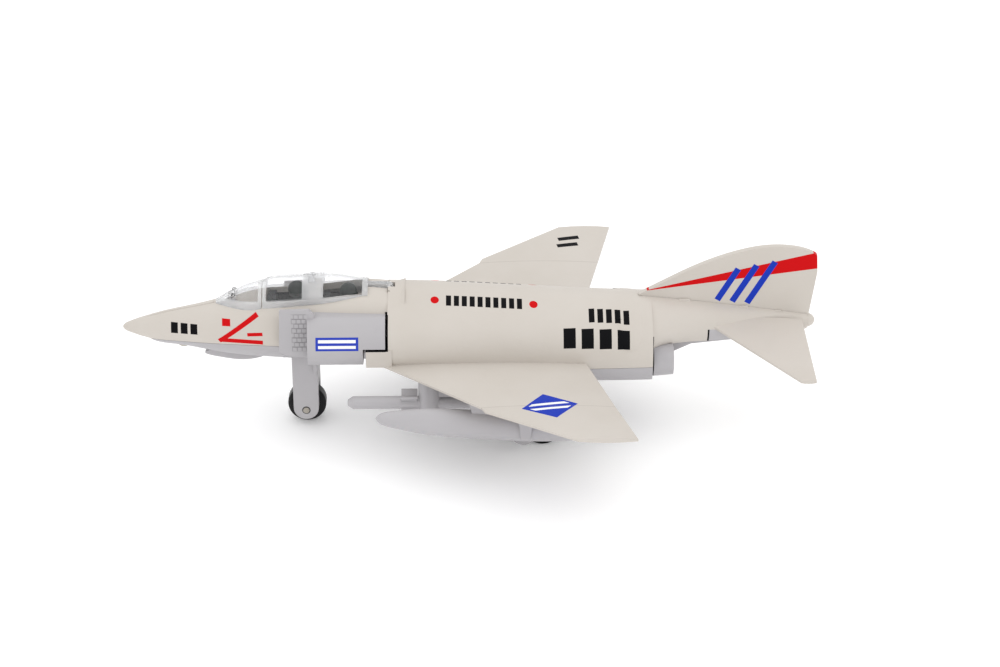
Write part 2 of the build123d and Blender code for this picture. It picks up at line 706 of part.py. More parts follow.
# ---------------------------------------------------------------- main wheels and legs
hub_radius = 4.0
for side in (-1, 1):
    label = side_names[side]
    with BuildPart() as tyre:
        add(wheel(main_wheel_x, side * main_wheel_y, main_wheel_width, wheel_radius, hub_radius))
    save(tyre.part, f"rear_tyre_{label}")
    with BuildPart() as hub:
        with Locations((main_wheel_x, side * main_wheel_y, axle_z)):
            Cylinder(hub_radius, main_wheel_width - 0.4, rotation=(90, 0, 0))
            Cylinder(axle_radius, main_wheel_width + 1, rotation=(90, 0, 0), mode=Mode.SUBTRACT)
        with Locations((main_wheel_x, side * (main_wheel_y + main_wheel_width / 2 - 0.2), axle_z)):
            Cylinder(hub_radius - 0.8, 1.6, rotation=(90, 0, 0), mode=Mode.SUBTRACT)
            Cylinder(axle_radius + 0.8, 1.6, rotation=(90, 0, 0))
            Cylinder(axle_radius, 5.0, rotation=(90, 0, 0), mode=Mode.SUBTRACT)
    save(hub.part, f"rear_hub_{label}")

    with BuildPart() as leg:
        extrude(leg_outline(main_leg_x, leg_end_z, 32.0, leg_width),
                amount=main_leg_thickness / 2, both=True)
        with BuildSketch(Plane.XZ):
            with Locations((main_leg_x, 26.0)):
                Rectangle(14.0, 12.0)
        extrude(amount=main_leg_thickness / 2 + 1.0, both=True)
    moved_leg = leg.part.moved(Location((0, side * main_leg_y, 0)))
    with BuildPart() as main_leg:
        add(moved_leg)
        with Locations((0, side * 40, 26.05 + 10)):
            Box(200, 90, 20, mode=Mode.SUBTRACT)
        add(wing(side), mode=Mode.SUBTRACT)
    save(main_leg.part, f"main_gear_leg_{label}")

with BuildPart() as rear_axle:
    with Locations((main_wheel_x, 0, axle_z)):
        Cylinder(axle_radius, 2 * main_wheel_y + main_wheel_width + 0.6, rotation=(90, 0, 0))
save(rear_axle.part, "rear_axle")

# ---------------------------------------------------------------- stores
for side in (-1, 1):
    label = side_names[side]
    tank_axis = Plane(origin=(tank_nose_x, side * tank_y, tank_nose_z),
                      x_dir=(math.cos(math.radians(tank_tilt)), 0, -math.sin(math.radians(tank_tilt))),
                      z_dir=(0, -1, 0))
    with BuildPart() as tank:
        with BuildSketch(tank_axis):
            with BuildLine():
                Spline((0, 0), (0.8, 1.0), (5.5, 2.6), (13.0, 3.7), (20.0, 4.2), (27.0, tank_radius))
                Line((27.0, tank_radius), (tank_taper_start, tank_radius))
                Spline((tank_taper_start, tank_radius), (60.0, 3.2), (tank_length, 0.5),
                       tangents=[(1, 0), (1, -0.3)])
                Polyline((tank_length, 0.5), (tank_length, 0), (0, 0))
            make_face()
        revolve(axis=Axis(tank_axis.origin, tank_axis.x_dir))
    save(tank.part, f"tank_{label}")

    with BuildPart() as tank_pylon:
        with BuildSketch(side_plane(side * tank_y)):
            Polygon((-2.0, above_wing_z), (26.0, above_wing_z), (22.0, 20.0), (2.0, 20.0), align=None)
        extrude(amount=1.1, both=True)
        with BuildSketch(side_plane(side * tank_y)):
            Polygon((main_leg_x - 3.2, above_wing_z), (main_leg_x + 3.2, above_wing_z),
                    (main_leg_x + 1.4, 17.2), (main_leg_x - 1.4, 17.2), align=None)
        extrude(amount=tank_radius + 0.8, both=True)
        add(tank.part, mode=Mode.SUBTRACT)
        add(wing(side), mode=Mode.SUBTRACT)
    with BuildPart() as lower_tank_pylon:
        add(tank_pylon.part.solids().sort_by(Axis.Z)[0])
    save(lower_tank_pylon.part, f"tank_pylon_{label}")

    with BuildPart() as missile:
        with BuildSketch(Plane(origin=(missile_nose_x, side * missile_y, missile_z), x_dir=(1, 0, 0),
                               z_dir=(0, -1, 0))):
            with BuildLine():
                Polyline((0, 0), (0, 1.0), (1.6, missile_radius), (missile_length, missile_radius),
                         (missile_length, 0), (0, 0))
            make_face()
        revolve(axis=Axis((0, side * missile_y, missile_z), (1, 0, 0)))
        for fin_x, fin_span, fin_chord in ((missile_nose_x + 19.0, 2.6, 5.0),
                                           (missile_nose_x + missile_length - 5.0, 2.2, 4.6)):
            for turn in (45, 135, 225, 315):
                with Locations(Location((fin_x, side * missile_y, missile_z), (turn, 0, 0))):
                    with Locations((0, 0, missile_radius + fin_span / 2 - 0.3)):
                        Box(fin_chord, 0.7, fin_span)
    save(missile.part, f"missile_{label}")

    # pillar that grips the missile, with a rail behind it
    with BuildPart() as pylon:
        with BuildSketch(Plane.XY.offset(pylon_low_z)):
            with Locations((pylon_front_x + pylon_length / 2, side * missile_y)):
                RectangleRounded(pylon_length, pylon_width, pylon_width / 2 - 0.1)
        extrude(amount=above_wing_z - pylon_low_z)
        with BuildSketch(Plane.XY.offset(rail_low_z)):
            with Locations(((pylon_front_x + pylon_length / 2 + rail_rear_x) / 2, side * missile_y)):
                Rectangle(rail_rear_x - pylon_front_x - pylon_length / 2, rail_width)
        extrude(amount=above_wing_z - rail_low_z)
        add(wing(side), mode=Mode.SUBTRACT)
        add(missile.part, mode=Mode.SUBTRACT)
    with BuildPart() as lower_pylon:
        add(pylon.part.solids().sort_by(Axis.Z)[0])
    save(lower_pylon.part, f"pylon_{label}")


# ---------------------------------------------------------------- pull-back motor
idler_x = 18.6
idler_z = axle_z + math.sqrt((gear_module * (axle_teeth + idler_teeth) / 2) ** 2
                             - (main_wheel_x - idler_x) ** 2)
drum_x = 19.3
drum_z = idler_z + math.sqrt((gear_module * (idler_pinion_teeth + drum_teeth) / 2) ** 2
                             - (drum_x - idler_x) ** 2)
first_layer_y = -7.0
second_layer_y = first_layer_y + gear_width + 0.4
barrel_y = second_layer_y + gear_width
barrel_width = 6.8
barrel_radius = 6.8
barrel_wall = 0.7
gear_pin_radius = 1.0


def involute(angle):
    """Involute function."""
    return math.tan(angle) - angle


def gear_outline(teeth, x, z, tooth_angle, y):
    """Spur gear outline seen along the axles; one tooth points along tooth_angle."""
    pitch_radius = gear_module * teeth / 2
    base_radius = pitch_radius * math.cos(pressure_angle)
    tip_radius = pitch_radius + 0.75 * gear_module
    root_radius = pitch_radius - 1.1 * gear_module
    half_tooth = math.pi / (2 * teeth) - gear_backlash / (4 * pitch_radius)
    flank_start = max(base_radius, root_radius)
    radii = [flank_start + (tip_radius - flank_start) * step / 3 for step in range(4)]
    base_half_angle = half_tooth + involute(pressure_angle)
    half_angles = [base_half_angle - involute(math.acos(base_radius / r)) for r in radii]
    if root_radius < base_radius:
        radii.insert(0, root_radius)
        half_angles.insert(0, half_angles[0])
    flank = list(zip(radii, half_angles))
    points = []
    for tooth in range(teeth):
        centre = math.radians(tooth_angle) + 2 * math.pi * tooth / teeth
        for radius, half in flank:
            points.append((radius * math.cos(centre - half), radius * math.sin(centre - half)))
        for radius, half in reversed(flank):
            points.append((radius * math.cos(centre + half), radius * math.sin(centre + half)))
    with BuildSketch(Plane(origin=(x, y, z), x_dir=(1, 0, 0), z_dir=(0, -1, 0))) as outline:
        Polygon(*points, align=None)
    return outline.sketch


def direction(from_x, from_z, to_x, to_z):
    """Angle of one gear centre seen from another, in degrees."""
    return math.degrees(math.atan2(to_z - from_z, to_x - from_x))


axle_to_idler = direction(main_wheel_x, axle_z, idler_x, idler_z)
idler_to_drum = direction(idler_x, idler_z, drum_x, drum_z)

with BuildPart() as axle_gear:
    extrude(gear_outline(axle_teeth, main_wheel_x, axle_z, axle_to_idler, first_layer_y + gear_width),
            amount=gear_width)
    with Locations((main_wheel_x, first_layer_y + gear_width / 2, axle_z)):
        Cylinder(axle_radius, 2 * gear_width, rotation=(90, 0, 0), mode=Mode.SUBTRACT)
save(axle_gear.part, "axle_gear")

with BuildPart() as idler_gear:
    extrude(gear_outline(idler_teeth, idler_x, idler_z, axle_to_idler + 180 + 180 / idler_teeth,
                         first_layer_y + gear_width), amount=gear_width)
    extrude(gear_outline(idler_pinion_teeth, idler_x, idler_z, idler_to_drum, barrel_y),
            amount=gear_width + 0.4)
    with Locations((idler_x, barrel_y + 1.0, idler_z)):
        Cylinder(2.0, 2.0, rotation=(90, 0, 0))
    with Locations((idler_x, 0, idler_z)):
        Cylinder(gear_pin_radius + running, 30, rotation=(90, 0, 0), mode=Mode.SUBTRACT)
save(idler_gear.part, "idler_gear")

with BuildPart() as drum_gear:
    extrude(gear_outline(drum_teeth, drum_x, drum_z, idler_to_drum + 180 + 180 / drum_teeth, barrel_y),
            amount=gear_width)
    with Locations((drum_x, barrel_y + barrel_width / 2, drum_z)):
        Cylinder(barrel_radius, barrel_width, rotation=(90, 0, 0))
        Cylinder(barrel_radius - barrel_wall, barrel_width, rotation=(90, 0, 0), mode=Mode.SUBTRACT)
        Cylinder(gear_pin_radius + 0.7, barrel_width, rotation=(90, 0, 0))
    with Locations((drum_x, 0, drum_z)):
        Cylinder(gear_pin_radius + running, 30, rotation=(90, 0, 0), mode=Mode.SUBTRACT)
save(drum_gear.part, "drum_gear")

spring_turns = 5
spring_strip = 0.3
spring_inner_radius = 2.1
spring_pitch = (barrel_radius - barrel_wall - 0.35 - spring_inner_radius) / spring_turns
with BuildPart() as mainspring:
    with BuildSketch(Plane(origin=(drum_x, barrel_y + barrel_width - 0.6, drum_z), x_dir=(1, 0, 0),
                           z_dir=(0, -1, 0))):
        with BuildLine():
            for edge_side in (-1, 1):
                for half in range(2 * spring_turns):
                    centre = spring_pitch / 4 if half % 2 else -spring_pitch / 4
                    radius = spring_inner_radius + spring_pitch * (half / 2 + 0.25)
                    CenterArc((centre, 0), radius + edge_side * spring_strip / 2, 180 * (half % 2), 180)
            start = spring_inner_radius
            Line((start - spring_strip / 2, 0), (start + spring_strip / 2, 0))
            last = spring_pitch / 4 + spring_inner_radius + spring_pitch * (spring_turns - 0.25)
            Line((last - spring_strip / 2, 0), (last + spring_strip / 2, 0))
        make_face()
    extrude(amount=barrel_width - 1.2)
save(mainspring.part, "mainspring")

cover_y = motor_half_width - motor_wall
motor_middle_x = (motor_front_x + motor_rear_x) / 2
motor_middle_z = (motor_low_z + motor_top_z) / 2
motor_length = motor_rear_x - motor_front_x
motor_height = motor_top_z - motor_low_z
with BuildPart() as motor_case:
    with Locations((motor_middle_x, (cover_y - motor_half_width) / 2, motor_middle_z)):
        Box(motor_length, cover_y + motor_half_width, motor_height)
    with Locations((motor_middle_x, 0, motor_flange_z + motor_flange_thickness / 2)):
        Box(motor_length + 12.0, 7.0, motor_flange_thickness)
    with Locations((motor_middle_x, motor_wall / 2, motor_middle_z)):
        Box(motor_length - 2 * motor_wall, 2 * motor_half_width - motor_wall,
            motor_height - 2 * motor_wall, mode=Mode.SUBTRACT)
    with Locations((main_wheel_x, 0, axle_z)):
        Cylinder(axle_radius + running, 40, rotation=(90, 0, 0), mode=Mode.SUBTRACT)
    with Locations((idler_x, 0, idler_z), (drum_x, 0, drum_z)):
        Cylinder(gear_pin_radius, 40, rotation=(90, 0, 0), mode=Mode.SUBTRACT)
    with Locations([(x, 0, motor_flange_z) for x in motor_screw_x]):
        Cylinder(motor_screw_radius, 8.0, mode=Mode.SUBTRACT)
save(motor_case.part, "motor_case")

with BuildPart() as motor_cover:
    with Locations((motor_middle_x, cover_y + motor_wall / 2 + 0.02, motor_middle_z)):
        Box(motor_length, motor_wall - 0.04, motor_height)
    with Locations((main_wheel_x, 0, axle_z)):
        Cylinder(axle_radius + running, 40, rotation=(90, 0, 0), mode=Mode.SUBTRACT)
    with Locations((idler_x, 0, idler_z), (drum_x, 0, drum_z)):
        Cylinder(gear_pin_radius, 40, rotation=(90, 0, 0), mode=Mode.SUBTRACT)
save(motor_cover.part, "motor_cover")

for name, pin_x, pin_z in (("idler_pin", idler_x, idler_z), ("drum_pin", drum_x, drum_z)):
    with BuildPart() as gear_pin:
        with Locations((pin_x, 0, pin_z)):
            Cylinder(gear_pin_radius, 2 * motor_half_width - 0.4, rotation=(90, 0, 0))
    save(gear_pin.part, name)


# ---------------------------------------------------------------- screws
def screw(x, y, head_z, head_height, head_radius, shank_radius, tip, head_down):
    """Cross-head screw standing upright, its head underneath or on top."""
    slot_z = head_z if head_down else head_z + head_height
    with BuildPart() as fastener:
        with Locations((x, y, (head_z + tip) / 2)):
            Cylinder(shank_radius, abs(tip - head_z))
        with Locations((x, y, head_z + head_height / 2)):
            Cylinder(head_radius, head_height)
        with Locations((x, y, slot_z)):
            Box(head_radius * 1.2, 0.35, 1.0, mode=Mode.SUBTRACT)
            Box(0.35, head_radius * 1.2, 1.0, mode=Mode.SUBTRACT)
    return fastener.part


body_screws = [screw(x, y, head_z, screw_head_height, screw_head_radius, screw_radius, tip, True)
               for x, y, head_z, tip in screw_places]
save(Compound(children=body_screws), "body_screws")
motor_screws = [screw(x, 0, motor_flange_z + motor_flange_thickness, 0.9, 1.6,
                      motor_screw_radius - 0.03, 22.6, False) for x in motor_screw_x]
save(Compound(children=motor_screws), "motor_screws")
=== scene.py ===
"""Looks of the toy jet: paint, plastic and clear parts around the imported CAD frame.

Metres, +X towards the tail, +Y to starboard, +Z up, the table at Z = 0.
"""

import json
import math

import bmesh
import bpy
from mathutils import Matrix, Vector


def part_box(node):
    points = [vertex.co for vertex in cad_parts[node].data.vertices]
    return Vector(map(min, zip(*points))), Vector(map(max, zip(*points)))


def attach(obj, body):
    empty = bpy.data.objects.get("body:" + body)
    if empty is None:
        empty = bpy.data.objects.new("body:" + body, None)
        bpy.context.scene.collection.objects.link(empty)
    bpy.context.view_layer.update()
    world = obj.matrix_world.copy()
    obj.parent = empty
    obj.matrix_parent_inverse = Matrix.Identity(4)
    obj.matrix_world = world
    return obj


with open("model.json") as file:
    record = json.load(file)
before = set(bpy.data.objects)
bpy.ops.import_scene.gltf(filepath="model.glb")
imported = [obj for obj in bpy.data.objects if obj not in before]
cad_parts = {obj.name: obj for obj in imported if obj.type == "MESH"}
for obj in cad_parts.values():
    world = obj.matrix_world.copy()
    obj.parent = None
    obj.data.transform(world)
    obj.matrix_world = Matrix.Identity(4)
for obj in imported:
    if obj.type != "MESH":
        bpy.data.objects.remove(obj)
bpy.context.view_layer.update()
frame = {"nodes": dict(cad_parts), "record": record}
nodes = frame["nodes"]


# ---------------------------------------------------------------- shader building blocks
class Graph:
    """Small helper that adds nodes to one material and wires them."""

    def __init__(self, name):
        self.material = bpy.data.materials.new(name)
        self.material.use_nodes = True
        self.tree = self.material.node_tree
        self.shader = self.tree.nodes["Principled BSDF"]
        self.coordinates = self.tree.nodes.new("ShaderNodeTexCoord").outputs["Object"]
        split = self.tree.nodes.new("ShaderNodeSeparateXYZ")
        self.link(self.coordinates, split.inputs[0])
        self.x, self.y, self.z = split.outputs[0], split.outputs[1], split.outputs[2]

    def link(self, source, target):
        self.tree.links.new(source, target)

    def math(self, operation, first, second=None):
        """One arithmetic node. Each value may be a number or a socket."""
        node = self.tree.nodes.new("ShaderNodeMath")
        node.operation = operation
        for socket, value in zip(node.inputs, (first, second)):
            if value is None:
                continue
            if isinstance(value, (int, float)):
                socket.default_value = value
            else:
                self.link(value, socket)
        return node.outputs[0]

    def noise(self, scale, detail=4.0, roughness=0.5, stretch=None):
        """Noise over the piece's own coordinates, stretched along an axis if asked."""
        node = self.tree.nodes.new("ShaderNodeTexNoise")
        node.inputs["Scale"].default_value = scale
        node.inputs["Detail"].default_value = detail
        node.inputs["Roughness"].default_value = roughness
        vector = self.coordinates
        if stretch:
            mapping = self.tree.nodes.new("ShaderNodeMapping")
            mapping.inputs["Scale"].default_value = stretch
            self.link(vector, mapping.inputs[0])
            vector = mapping.outputs[0]
        self.link(vector, node.inputs["Vector"])
        return node.outputs["Fac"]

    def ramp(self, value, low, high, first, last):
        """Linear change from one number to another as value runs from low to high."""
        node = self.tree.nodes.new("ShaderNodeMapRange")
        self.link(value, node.inputs["Value"])
        for name, number in (("From Min", low), ("From Max", high), ("To Min", first), ("To Max", last)):
            node.inputs[name].default_value = number
        return node.outputs[0]

    def mix(self, factor, first, second):
        """Colour mix. first may be a colour or a socket."""
        node = self.tree.nodes.new("ShaderNodeMix")
        node.data_type = "RGBA"
        self.link(factor, node.inputs["Factor"])
        for socket, value in ((node.inputs["A"], first), (node.inputs["B"], second)):
            if isinstance(value, tuple):
                socket.default_value = (*value, 1.0)
            else:
                self.link(value, socket)
        return node.outputs["Result"]

    def dull(self, mask, level):
        """Specular level, which drops to almost none where mask is 1."""
        self.link(self.ramp(mask, 0.0, 1.0, level, PRINT_GLOSS), self.shader.inputs["Specular IOR Level"])

    def bump(self, height, strength, distance):
        """Fine relief, distance in metres."""
        node = self.tree.nodes.new("ShaderNodeBump")
        node.inputs["Strength"].default_value = strength
        node.inputs["Distance"].default_value = distance
        self.link(height, node.inputs["Height"])
        self.link(node.outputs[0], self.shader.inputs["Normal"])

    def both(self, *masks):
        """1 where every mask is 1."""
        result = masks[0]
        for mask in masks[1:]:
            result = self.math("MULTIPLY", result, mask)
        return result

    def either(self, *masks):
        """1 where any mask is 1."""
        result = masks[0]
        for mask in masks[1:]:
            result = self.math("MAXIMUM", result, mask)
        return result

    def outside(self, mask):
        """1 where the mask is 0."""
        return self.math("SUBTRACT", 1.0, mask)

    def above(self, value, limit):
        return self.math("GREATER_THAN", value, limit)

    def below(self, value, limit):
        return self.math("LESS_THAN", value, limit)

    def band(self, value, centre, half_width):
        """1 where value lies within half_width of centre."""
        distance = self.math("ABSOLUTE", self.math("SUBTRACT", value, centre))
        return self.math("LESS_THAN", distance, half_width)

    def slanted(self, first, second, origin, angle):
        """Coordinates along and across a line through origin, turned by angle in degrees."""
        du = self.math("SUBTRACT", first, origin[0])
        dv = self.math("SUBTRACT", second, origin[1])
        c, s = math.cos(math.radians(angle)), math.sin(math.radians(angle))
        along = self.math("ADD", self.math("MULTIPLY", du, c), self.math("MULTIPLY", dv, s))
        across = self.math("SUBTRACT", self.math("MULTIPLY", dv, c), self.math("MULTIPLY", du, s))
        return along, across

    def bar(self, first, second, centre, half_length, half_width, angle=0.0):
        """Mask of a straight bar."""
        along, across = self.slanted(first, second, centre, angle)
        return self.both(self.band(along, 0.0, half_length), self.band(across, 0.0, half_width))

    def disc(self, first, second, centre, radius):
        """Mask of a round spot."""
        du, dv = self.slanted(first, second, centre, 0.0)
        squared = self.math("ADD", self.math("MULTIPLY", du, du), self.math("MULTIPLY", dv, dv))
        return self.below(squared, radius * radius)


BEIGE = (0.570, 0.530, 0.485)
BEIGE_SHADE = (0.545, 0.504, 0.456)
GREY = (0.445, 0.432, 0.445)
GREY_SHADE = (0.415, 0.402, 0.416)
RED = (0.560, 0.004, 0.006)
BLUE = (0.012, 0.040, 0.420)
BLACK = (0.004, 0.004, 0.005)
WHITE = (0.86, 0.86, 0.85)
SEAM = (0.30, 0.27, 0.24)
BRICK_JOINT = (0.20, 0.19, 0.20)
PRINT_GLOSS = 0.06

# Printed markings, in metres. A row is (start, pitch, count, half width, half height, slope),
# a bar is (centre, half length, half width, angle in degrees), a spot is (centre, radius).
SIDE_ROWS = (((-0.0922, 0.0351), 0.0031, 3, 0.0011, 0.0016, 0.0),
             ((0.0310, 0.0357), 0.0056, 4, 0.0019, 0.0026, -0.05),
             ((0.0380, 0.0406), 0.0027, 5, 0.0009, 0.0013, -0.05))
SPINE_ROW = ((-0.0064, 0.0070), 0.00245, 10, 0.0008, 0.0019, 0.0)
SPINE_SPOTS = (((-0.0107, 0.0070), 0.0013), ((0.0200, 0.0070), 0.0013))
WING_BARS = (((0.0340, 0.0655), 0.0036, 0.0011, 12.0), ((0.0335, 0.0610), 0.0036, 0.0011, 12.0))
CHEVRON = (((-0.0720, 0.0363), 0.0077, 0.00075, 37.0), ((-0.0712, 0.0319), 0.0068, 0.00075, -2.0),
           ((-0.0668, 0.0345), 0.0024, 0.00060, 4.0), ((-0.0757, 0.0380), 0.0013, 0.0011, 0.0))
LOZENGE_CENTRE, LOZENGE_ANGLE, LOZENGE_REACH = (0.0237, -0.0508), 12.0, 0.0086
FIN_BARS = [((0.0810 + 0.0052 * i, 0.0468 + 0.0003 * i), 0.0062 + 0.0010 * i, 0.0010, 60.0)
            for i in range(3)]
PANEL_CENTRE = (-0.0408, 0.0356)

# Heights and widths that bound the painted areas.
WING_TOP_Z, SPINE_Z, BODY_HALF_WIDTH = 0.0285, 0.0405, 0.0205
TAIL_TAPER_Z = 0.0429
NOZZLE_GAP_TOP = 0.0345
FOLD_Y = 0.0503
BRICK_FOOT_Z, BRICK_LENGTH, BRICK_HEIGHT = 0.0306, 0.0015, 0.0016
NOSE_PIN = (-0.0520, 0.0061)


def paint_base(graph, light, shade):
    """Sprayed satin paint: slight mottling, fine orange peel, uneven gloss."""
    cloud = graph.noise(38.0, 5.0, 0.55)
    tint = graph.mix(graph.ramp(cloud, 0.35, 0.65, 0.0, 1.0), light, shade)
    graph.link(graph.ramp(graph.noise(160.0, 3.0), 0.3, 0.7, 0.40, 0.52), graph.shader.inputs["Roughness"])
    peel = graph.math("ADD", graph.noise(900.0, 2.0), graph.math("MULTIPLY", cloud, 0.6))
    graph.bump(peel, 0.05, 0.0004)
    return tint


def bars(graph, first, second, rows):
    """Mask of several straight bars."""
    return graph.either(*[graph.bar(first, second, *row) for row in rows])


def block_row(graph, first, second, start, pitch, count, half_width, half_height, slope):
    """Row of plain upright blocks along a slightly sloping line."""
    return bars(graph, first, second, [((start[0] + pitch * i, start[1] + slope * pitch * i),
                                        half_width, half_height) for i in range(count)])


def shadow_gaps(graph, side, tail_taper):
    """Painted shadow: black bands in the gaps behind the intakes, ahead of the nozzles and round the tail
    underside.
    """
    x, z = graph.x, graph.z
    behind_intake = graph.both(graph.band(x, -0.02560, 0.00050), graph.below(z, 0.0425),
                               graph.above(z, 0.0334), graph.below(side, 0.0215))
    under_intake = graph.both(graph.band(x, -0.0294, 0.0036), graph.band(z, 0.0336, 0.0003),
                              graph.above(side, 0.0113))
    before_nozzle = graph.both(graph.band(x, 0.0572, 0.00022), graph.below(z, NOZZLE_GAP_TOP))
    before_tail = graph.both(graph.band(x, 0.0750, 0.00028), graph.below(tail_taper, TAIL_TAPER_Z),
                             graph.below(side, 0.0090))
    return graph.either(behind_intake, under_intake, before_nozzle, before_tail)


def body_paint():
    """Cream paint of the casting with its printed plain markings and painted shadow in the gaps between
    parts.
    """
    graph = Graph("cream_paint_with_markings")
    x, y, z = graph.x, graph.y, graph.z
    colour = paint_base(graph, BEIGE, BEIGE_SHADE)
    top = graph.above(z, WING_TOP_Z)
    side = graph.math("ABSOLUTE", y)
    off_wing = graph.below(side, BODY_HALF_WIDTH)
    spine = graph.above(z, SPINE_Z)

    # grey underside of the tail, in front of the tailplane roots
    droop = graph.math("ADD", z, graph.math("MULTIPLY", side, 0.426))
    tail_taper = graph.math("ADD", droop, graph.math("MULTIPLY", x, 0.08))
    under_tail = graph.both(graph.above(x, 0.0752), graph.below(x, 0.094),
                            graph.below(tail_taper, TAIL_TAPER_Z), graph.below(side, 0.0074))
    colour = graph.mix(under_tail, colour, GREY)

    side_blocks = graph.either(*[block_row(graph, x, z, *row) for row in SIDE_ROWS])
    # black mask: printed blocks and bars, plus the painted shadow in the gaps between parts
    black = graph.either(graph.both(off_wing, side_blocks),
                         graph.both(spine, block_row(graph, x, side, *SPINE_ROW)),
                         graph.both(top, bars(graph, x, y, WING_BARS)),
                         shadow_gaps(graph, side, tail_taper))
    colour = graph.mix(black, colour, BLACK)

    spots = graph.either(*[graph.disc(x, side, *spot) for spot in SPINE_SPOTS])
    red = graph.either(graph.both(off_wing, bars(graph, x, z, CHEVRON)), graph.both(spine, spots))
    colour = graph.mix(red, colour, RED)

    # port wing: plain blue lozenge with two white stripes
    along, across = graph.slanted(x, y, LOZENGE_CENTRE, LOZENGE_ANGLE)
    reach = graph.math("ADD", graph.math("ABSOLUTE", along), graph.math("ABSOLUTE", across))
    lozenge = graph.both(graph.below(reach, LOZENGE_REACH), top)
    stripes = graph.both(lozenge, graph.below(reach, LOZENGE_REACH - 0.0014),
                         graph.band(graph.math("ABSOLUTE", across), 0.0016, 0.0007))
    colour = graph.mix(lozenge, colour, BLUE)
    colour = graph.mix(stripes, colour, WHITE)
    graph.dull(graph.either(black, red, lozenge), 0.30)

    # fold line across both wings
    fold = graph.both(graph.band(side, FOLD_Y, 0.00016), top)
    colour = graph.mix(graph.math("MULTIPLY", fold, 0.35), colour, SEAM)
    graph.link(colour, graph.shader.inputs["Base Color"])
    return graph.material


def fin_paint():
    """Cream paint of the fin with a red wedge and three slanting blue bars."""
    graph = Graph("fin_paint")
    x, z = graph.x, graph.z
    colour = paint_base(graph, BEIGE, BEIGE_SHADE)
    along, across = graph.slanted(x, z, (0.0539, 0.0446), 10.6)
    half = graph.math("MULTIPLY", along, 0.049)
    wedge = graph.both(graph.below(graph.math("ABSOLUTE", across), half), graph.above(along, 0.0))
    colour = graph.mix(wedge, colour, RED)
    slanting = bars(graph, x, z, FIN_BARS)
    colour = graph.mix(slanting, colour, BLUE)
    graph.dull(graph.either(wedge, slanting), 0.30)
    graph.link(colour, graph.shader.inputs["Base Color"])
    return graph.material


def plain_cream():
    """Cream paint without markings, for the small moulded details."""
    graph = Graph("plain_cream")
    graph.link(paint_base(graph, BEIGE, BEIGE_SHADE), graph.shader.inputs["Base Color"])
    return graph.material


def intake_marks(graph, colour):
    """Blue panel with two white stripes, and dark joints between the bricks of the bleed grid."""
    x, z = graph.x, graph.z
    panel = graph.bar(x, z, PANEL_CENTRE, 0.0066, 0.0020)
    stripes = graph.both(graph.bar(x, z, PANEL_CENTRE, 0.0058, 0.0013),
                         graph.outside(graph.band(z, PANEL_CENTRE[1], 0.0004)))
    colour = graph.mix(stripes, graph.mix(panel, colour, BLUE), WHITE)
    height = graph.math("SUBTRACT", z, BRICK_FOOT_Z)
    row = graph.math("FLOOR", graph.math("DIVIDE", height, BRICK_HEIGHT))
    shift = graph.math("MULTIPLY", graph.math("FLOORED_MODULO", row, 2.0), -0.0007)
    run = graph.math("ADD", graph.math("ADD", x, shift), 0.05495)
    u = graph.math("FLOORED_MODULO", run, BRICK_LENGTH)
    v = graph.math("FLOORED_MODULO", height, BRICK_HEIGHT)
    brick = graph.both(graph.band(u, 0.00075, 0.00060), graph.band(v, 0.0008, 0.00062))
    grid = graph.both(graph.band(x, -0.0528, 0.0023), graph.band(z, 0.0370, 0.0064),
                      graph.outside(brick))
    return graph.mix(graph.math("MULTIPLY", grid, 0.45), colour, BRICK_JOINT)


def grey_plastic(marked=False):
    """Satin injection-moulded plastic, slightly cool grey, with the intake markings if marked and painted
    shadow in the gap ahead of the nozzles.
    """
    graph = Graph("grey_plastic_striped" if marked else "grey_plastic")
    flow = graph.noise(55.0, 4.0, 0.6, (0.5, 1.0, 1.0))
    colour = graph.mix(graph.ramp(flow, 0.3, 0.7, 0.0, 1.0), GREY, GREY_SHADE)
    graph.shader.inputs["Specular IOR Level"].default_value = 0.30
    if marked:
        colour = intake_marks(graph, colour)
    # painted shadow: black band across the gap ahead of the nozzles
    rear_gap_shadow = graph.both(graph.band(graph.x, 0.0573, 0.00026), graph.below(graph.z, NOZZLE_GAP_TOP))
    pin_ring = graph.both(graph.disc(graph.x, graph.z, NOSE_PIN, 0.00135), graph.below(graph.z, 0.0080))
    dark = graph.math("MULTIPLY", graph.either(rear_gap_shadow, pin_ring), 0.85)
    graph.link(graph.mix(dark, colour, BLACK), graph.shader.inputs["Base Color"])
    graph.link(graph.ramp(graph.noise(220.0, 3.0), 0.3, 0.7, 0.36, 0.50), graph.shader.inputs["Roughness"])
    graph.bump(graph.noise(1400.0, 2.0), 0.06, 0.0002)
    return graph.material


